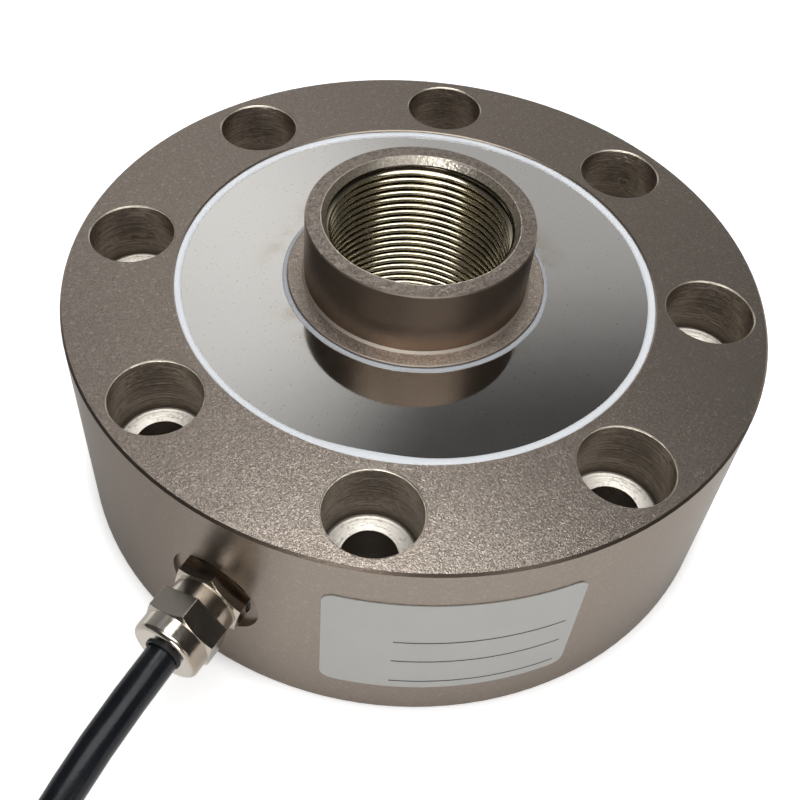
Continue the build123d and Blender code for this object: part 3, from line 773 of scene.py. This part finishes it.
MATERIALS = {
    "nickel_plated_steel": nickel_steel(),
    "polished_cover": polished_cover(),
    "white_sealant": white_sealant(),
    "circuit_board": plain_plastic("circuit_board", (0.02, 0.16, 0.07)),
    "resistor_body": plain_plastic("resistor_body", (0.42, 0.30, 0.16)),
    "loom_wire": plain_plastic("loom_wire", (0.55, 0.06, 0.04)),
    "gland_nickel": gland_nickel(),
    "black_rubber": soft_black("black_rubber", (0.010, 0.010, 0.011), 0.5, 0.4),
    "silver_label": silver_label(),
    "cable_jacket": soft_black("cable_jacket", (0.005, 0.006, 0.008), 0.22, 0.9, 0.29),
    "shrink_sleeve": soft_black("shrink_sleeve", (0.010, 0.010, 0.011), 0.45, 0.5),
    "core_red": plain_plastic("core_red", (0.50, 0.02, 0.02)),
    "core_black": plain_plastic("core_black", (0.012, 0.012, 0.012)),
    "core_green": plain_plastic("core_green", (0.02, 0.22, 0.06)),
    "core_white": plain_plastic("core_white", (0.75, 0.75, 0.72)),
    "tinned_copper": bright_copper(),
    "tie_nylon": plain_plastic("tie_nylon", (0.02, 0.02, 0.02), 0.45),
    "gauge_film": plain_plastic("gauge_film", (0.55, 0.30, 0.06)),
}


def dress_nodes():
    """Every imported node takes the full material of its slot."""
    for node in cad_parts.values():
        for place in node.material_slots:
            place.material = MATERIALS[place.material.name.split(".")[0]]


def make_thread(material):
    """The ridges of the hub's internal thread, which run out in the chamfers at both ends."""
    half_root = THREAD_PITCH * 7 / 16
    half_crest = THREAD_PITCH / 8
    crest_r = THREAD_R - THREAD_DEPTH
    wall_r = THREAD_R + SUNK_IN_WALL
    soft = CREST_ROUNDING
    section = [
        (wall_r, -half_root),
        (THREAD_R, -half_root),
        (crest_r + soft, -half_crest - soft * FLANK_SLANT),
        (crest_r, -half_crest + soft),
        (crest_r, half_crest - soft),
        (crest_r + soft, half_crest + soft * FLANK_SLANT),
        (THREAD_R, half_root),
        (wall_r, half_root),
    ]
    high = HUB_TOP - MOUTH_DEPTH
    slope = MOUTH_FLARE / MOUTH_DEPTH
    steps = THREAD_SEGMENTS * (math.ceil((high - LOW_MOUTH_TOP) / THREAD_PITCH) + 1)
    first = LOW_MOUTH_TOP - half_root
    points = []
    for number in range(steps + 1):
        angle = THREAD_PHASE + 360 * number / THREAD_SEGMENTS
        for radius, offset in section:
            height = first + offset + THREAD_PITCH * number / THREAD_SEGMENTS
            high_cone = THREAD_R - (high - height) * slope
            low_cone = THREAD_R - (height - LOW_MOUTH_TOP)
            radius = min(max(radius, high_cone, low_cone), wall_r)
            height = min(max(height, LOW_MOUTH_TOP - SUNK_IN_MOUTH), high + SUNK_IN_MOUTH)
            points.append(polar(radius, angle, height))
    count = len(section)
    end = steps * count
    faces = []
    for row in range(0, end, count):
        for side in range(count):
            after = (side + 1) % count
            faces.append((row + side, row + after, row + count + after, row + count + side))
    faces.append(tuple(range(count)))
    faces.append(tuple(reversed(range(end, end + count))))
    new_mesh("hub_thread_ridges", points, faces, material)


def wavy(angle, seed):
    """A smooth, closed unevenness between about -1 and 1 round a circle."""
    draw = random.Random(seed)
    total = 0.0
    for number in range(WAVES):
        rate = 3 + 4 * number + draw.randrange(3)
        total += math.sin(math.radians(angle * rate + draw.uniform(0, 360)))
    return total / math.sqrt(WAVES)


def bead_toe(angle, radius, dips, seed):
    """How far from the axis a bead's wavy toe lies."""
    nearer = sum(depth * near(angle, middle, reach) for middle, reach, depth in dips)
    return radius - nearer + BEAD_WAVE * wavy(angle, seed)


def outer_toe(angle):
    return bead_toe(angle, OUTER_BEAD_TOE, OUTER_BEAD_DIPS, 3)


def inner_toe(angle):
    return bead_toe(angle, INNER_BEAD_TOE, INNER_BEAD_DIPS, 8)


def make_bead(name, node, wall, toe, seed, material):
    """A rounded bead of sealant between a wall and its toe on the cover."""
    points = []
    for number in range(BEAD_STEPS):
        angle = 360 * number / BEAD_STEPS
        foot = toe(angle)
        rise = BEAD_RISE * (1 + BEAD_RISE_WAVE * wavy(angle, seed))
        for share, height in BEAD_SECTION:
            points.append(polar(blend(foot, wall, share), angle, PLATE_TOP + rise * height))
    count = len(BEAD_SECTION)
    faces = []
    for number in range(BEAD_STEPS):
        row = number * count
        following = (number + 1) % BEAD_STEPS * count
        for side in range(count):
            after = (side + 1) % count
            faces.append((row + side, following + side, following + after, row + after))
    bead = new_mesh(name, points, faces, material)
    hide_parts(node)


def make_label_lines(material):
    """Thin ruled lines printed on the blank label."""
    for number, height in enumerate(LINE_HEIGHTS, 1):
        points = []
        for step in range(LINE_STEPS + 1):
            angle = blend(*LINE_ENDS, step / LINE_STEPS)
            points.append(polar(LABEL_R + LINE_T, angle, height - LINE_W / 2))
            points.append(polar(LABEL_R + LINE_T, angle, height + LINE_W / 2))
        faces = [(2 * k, 2 * k + 2, 2 * k + 3, 2 * k + 1) for k in range(LINE_STEPS)]
        new_mesh(f"label_line_{number}", points, faces, material)


# The set: floor, camera and light

# The floor: half its width in metres, its colour, and how bright it looks near the object,
# to the camera and, as a share of that, mirrored in metal
FLOOR_HALF = 3.0
FLOOR_TONE = (0.85, 0.85, 0.85)
FLOOR_LIFT = 0.62
FLOOR_IN_METAL = 0.6

# How far under the body and past its rim the floor comes up from dark, the distances from
# the axis at which it goes on to white, and the front left corner that metal doesn't mirror
UNDER_BODY = 4.0
FLOOR_SHADE = 3.0
MIRRORED_SHADE = 8.0
TO_WHITE = (350.0, 1000.0)
DARK_LEFT = (0.0, -32.0)
DARK_FRONT = (-28.0, -46.0)

# The studio's walls. An azimuth goes from +Y towards +X.
ROOM_LEVEL = 0.065
WALL_LEVEL = 0.41
WALL_TILT = (70.0, 75.0)
WALL_EDGE = (0.64, 0.76)
WALL_MIDDLE = -25.0
WALL_SIDES = (0.45, 0.85)
WINDOW_PLACE = (-46.0, 43.0)
WINDOW_EDGE = (0.950, 0.998)
WINDOW_LEVEL = 0.43

# Lamps: azimuth, elevation, width and height in metres, and power in watts
LAMP_DISTANCE = 1.2
LAMPS = {
    "front_window": (165.0, 14.0, 0.50, 0.50, 4.0),
    "right_window": (120.0, 14.0, 0.50, 0.50, 1.0),
    "middle_front": (134.0, 46.0, 0.90, 0.25, 0.22),
    "high_front": (148.0, 75.0, 1.35, 0.70, 7.4),
    "overhead": (-25.0, 75.0, 0.45, 0.45, 3.1),
}


def floor_glow(paint):
    """What lifts the floor towards white: further off to the camera, and less in metal."""
    ray = paint.node("ShaderNodeLightPath").outputs
    radius = axis_distance(paint)
    x, y = paint.split(paint.place)[:2]
    inner = BODY_R - UNDER_BODY
    corner = paint.product(paint.fade(x, *DARK_LEFT), paint.fade(y, *DARK_FRONT))
    out_of_shade = paint.fade(radius, inner, BODY_R + MIRRORED_SHADE)
    mirrored = paint.product(paint.opposite(corner), FLOOR_IN_METAL, out_of_shade)
    mirrored = paint.product(ray["Is Glossy Ray"], mirrored, FLOOR_LIFT)
    seen = paint.math("MAXIMUM", ray["Is Camera Ray"], ray["Is Transmission Ray"])
    seen = paint.product(seen, paint.fade(radius, inner, BODY_R + FLOOR_SHADE))
    seen = paint.product(seen, paint.fade(radius, *TO_WHITE, FLOOR_LIFT, 1.0))
    return paint.math("MAXIMUM", seen, mirrored)


def make_floor():
    """A pale floor, which keeps the object's shadow."""
    ends = [(-1, -1), (1, -1), (1, 1), (-1, 1)]
    mesh = bpy.data.meshes.new("floor")
    mesh.from_pydata([(x * FLOOR_HALF, y * FLOOR_HALF, 0) for x, y in ends], [], [(0, 1, 2, 3)])
    paint = Paint("floor")
    material = paint.finish(
        Base_Color=FLOOR_TONE,
        Roughness=0.9,
        Specular_IOR_Level=0.0,
        Emission_Color=(1.0, 1.0, 1.0),
        Emission_Strength=floor_glow(paint),
    )
    mesh.materials.append(material)
    floor = bpy.data.objects.new("floor", mesh)
    bpy.context.scene.collection.objects.link(floor)


def make_camera():
    """A camera that looks from the front right, a little rolled."""
    azimuth = math.radians(CAMERA_AZIMUTH)
    elevation = math.radians(CAMERA_ELEVATION)
    roll = math.radians(CAMERA_ROLL)
    flat = math.cos(elevation)
    forward = Vector((-math.sin(azimuth) * flat, math.cos(azimuth) * flat, -math.sin(elevation)))
    level = Vector((math.cos(azimuth), math.sin(azimuth), 0.0))
    down = forward.cross(level)
    right = level * math.cos(roll) - down * math.sin(roll)
    under = level * math.sin(roll) + down * math.cos(roll)
    data = bpy.data.cameras.new("camera")
    data.lens = CAMERA_LENS
    data.shift_x, data.shift_y = CAMERA_SHIFT
    data.clip_start = 0.005
    camera = bpy.data.objects.new("camera", data)
    turned = Matrix((right, -under, -forward)).transposed().to_4x4()
    camera.matrix_world = Matrix.Translation(CAMERA_PLACE) @ turned
    bpy.context.scene.collection.objects.link(camera)
    bpy.context.scene.camera = camera


def direction(azimuth, elevation):
    """A direction given by its azimuth from +Y towards +X and its elevation."""
    turn = math.radians(azimuth)
    rise = math.radians(elevation)
    flat = math.cos(rise)
    return Vector((math.sin(turn) * flat, math.cos(turn) * flat, math.sin(rise)))


def make_lamp(name, azimuth, elevation, width, height, power):
    """A soft oval lamp that looks at the origin."""
    data = bpy.data.lights.new(name, "AREA")
    data.shape = "ELLIPSE"
    data.size = width
    data.size_y = height
    data.energy = power
    lamp = bpy.data.objects.new(name, data)
    towards = direction(azimuth, elevation)
    lamp.location = towards * LAMP_DISTANCE
    lamp.rotation_mode = "QUATERNION"
    lamp.rotation_quaternion = towards.to_track_quat("Z", "Y")
    bpy.context.scene.collection.objects.link(lamp)


def make_world():
    """A dark studio, white to the camera, with a pale wall behind and a soft window on the left."""
    world = bpy.data.worlds.new("studio")
    bpy.context.scene.world = world
    world.use_nodes = True
    nodes = Nodes(world.node_tree)
    look = nodes.node("ShaderNodeTexCoord").outputs["Generated"]
    ray = nodes.node("ShaderNodeLightPath").outputs
    below_edge = nodes.fade(nodes.dot(look, direction(*WALL_TILT)), *WALL_EDGE, 1.0, 0.0)
    ahead = nodes.fade(nodes.dot(look, direction(WALL_MIDDLE, 0.0)), *WALL_SIDES)
    wall = nodes.product(below_edge, ahead, WALL_LEVEL)
    window = nodes.dot(look, direction(*WINDOW_PLACE))
    window = nodes.fade(window, *WINDOW_EDGE, 0.0, WINDOW_LEVEL)
    level = nodes.math("ADD", nodes.math("ADD", wall, window), ROOM_LEVEL)
    seen = nodes.math("MAXIMUM", ray["Is Camera Ray"], ray["Is Transmission Ray"])
    background = nodes.tree.nodes["Background"].inputs
    nodes.feed(background["Strength"], nodes.math("MAXIMUM", level, seen))
    nodes.feed(background["Color"], (1.0, 1.0, 1.0, 1.0))


make_camera()
cable = make_cable(MATERIALS["cable_jacket"])
dress_nodes()
make_thread(thread_steel())
sealant = MATERIALS["white_sealant"]
make_bead("outer_bead", "top_outer_seal_bead", RECESS_R - BEAD_GAP, outer_toe, 6, sealant)
make_bead("inner_bead", "top_inner_seal_bead", SHOULDER_R + BEAD_GAP, inner_toe, 12, sealant)
make_label_lines(plain_plastic("label_ink", (0.03, 0.03, 0.03), 0.5))
make_floor()
make_world()
for lamp_name, lamp_setting in LAMPS.items():
    make_lamp(lamp_name, *lamp_setting)
bpy.context.scene.view_settings.view_transform = "Standard"
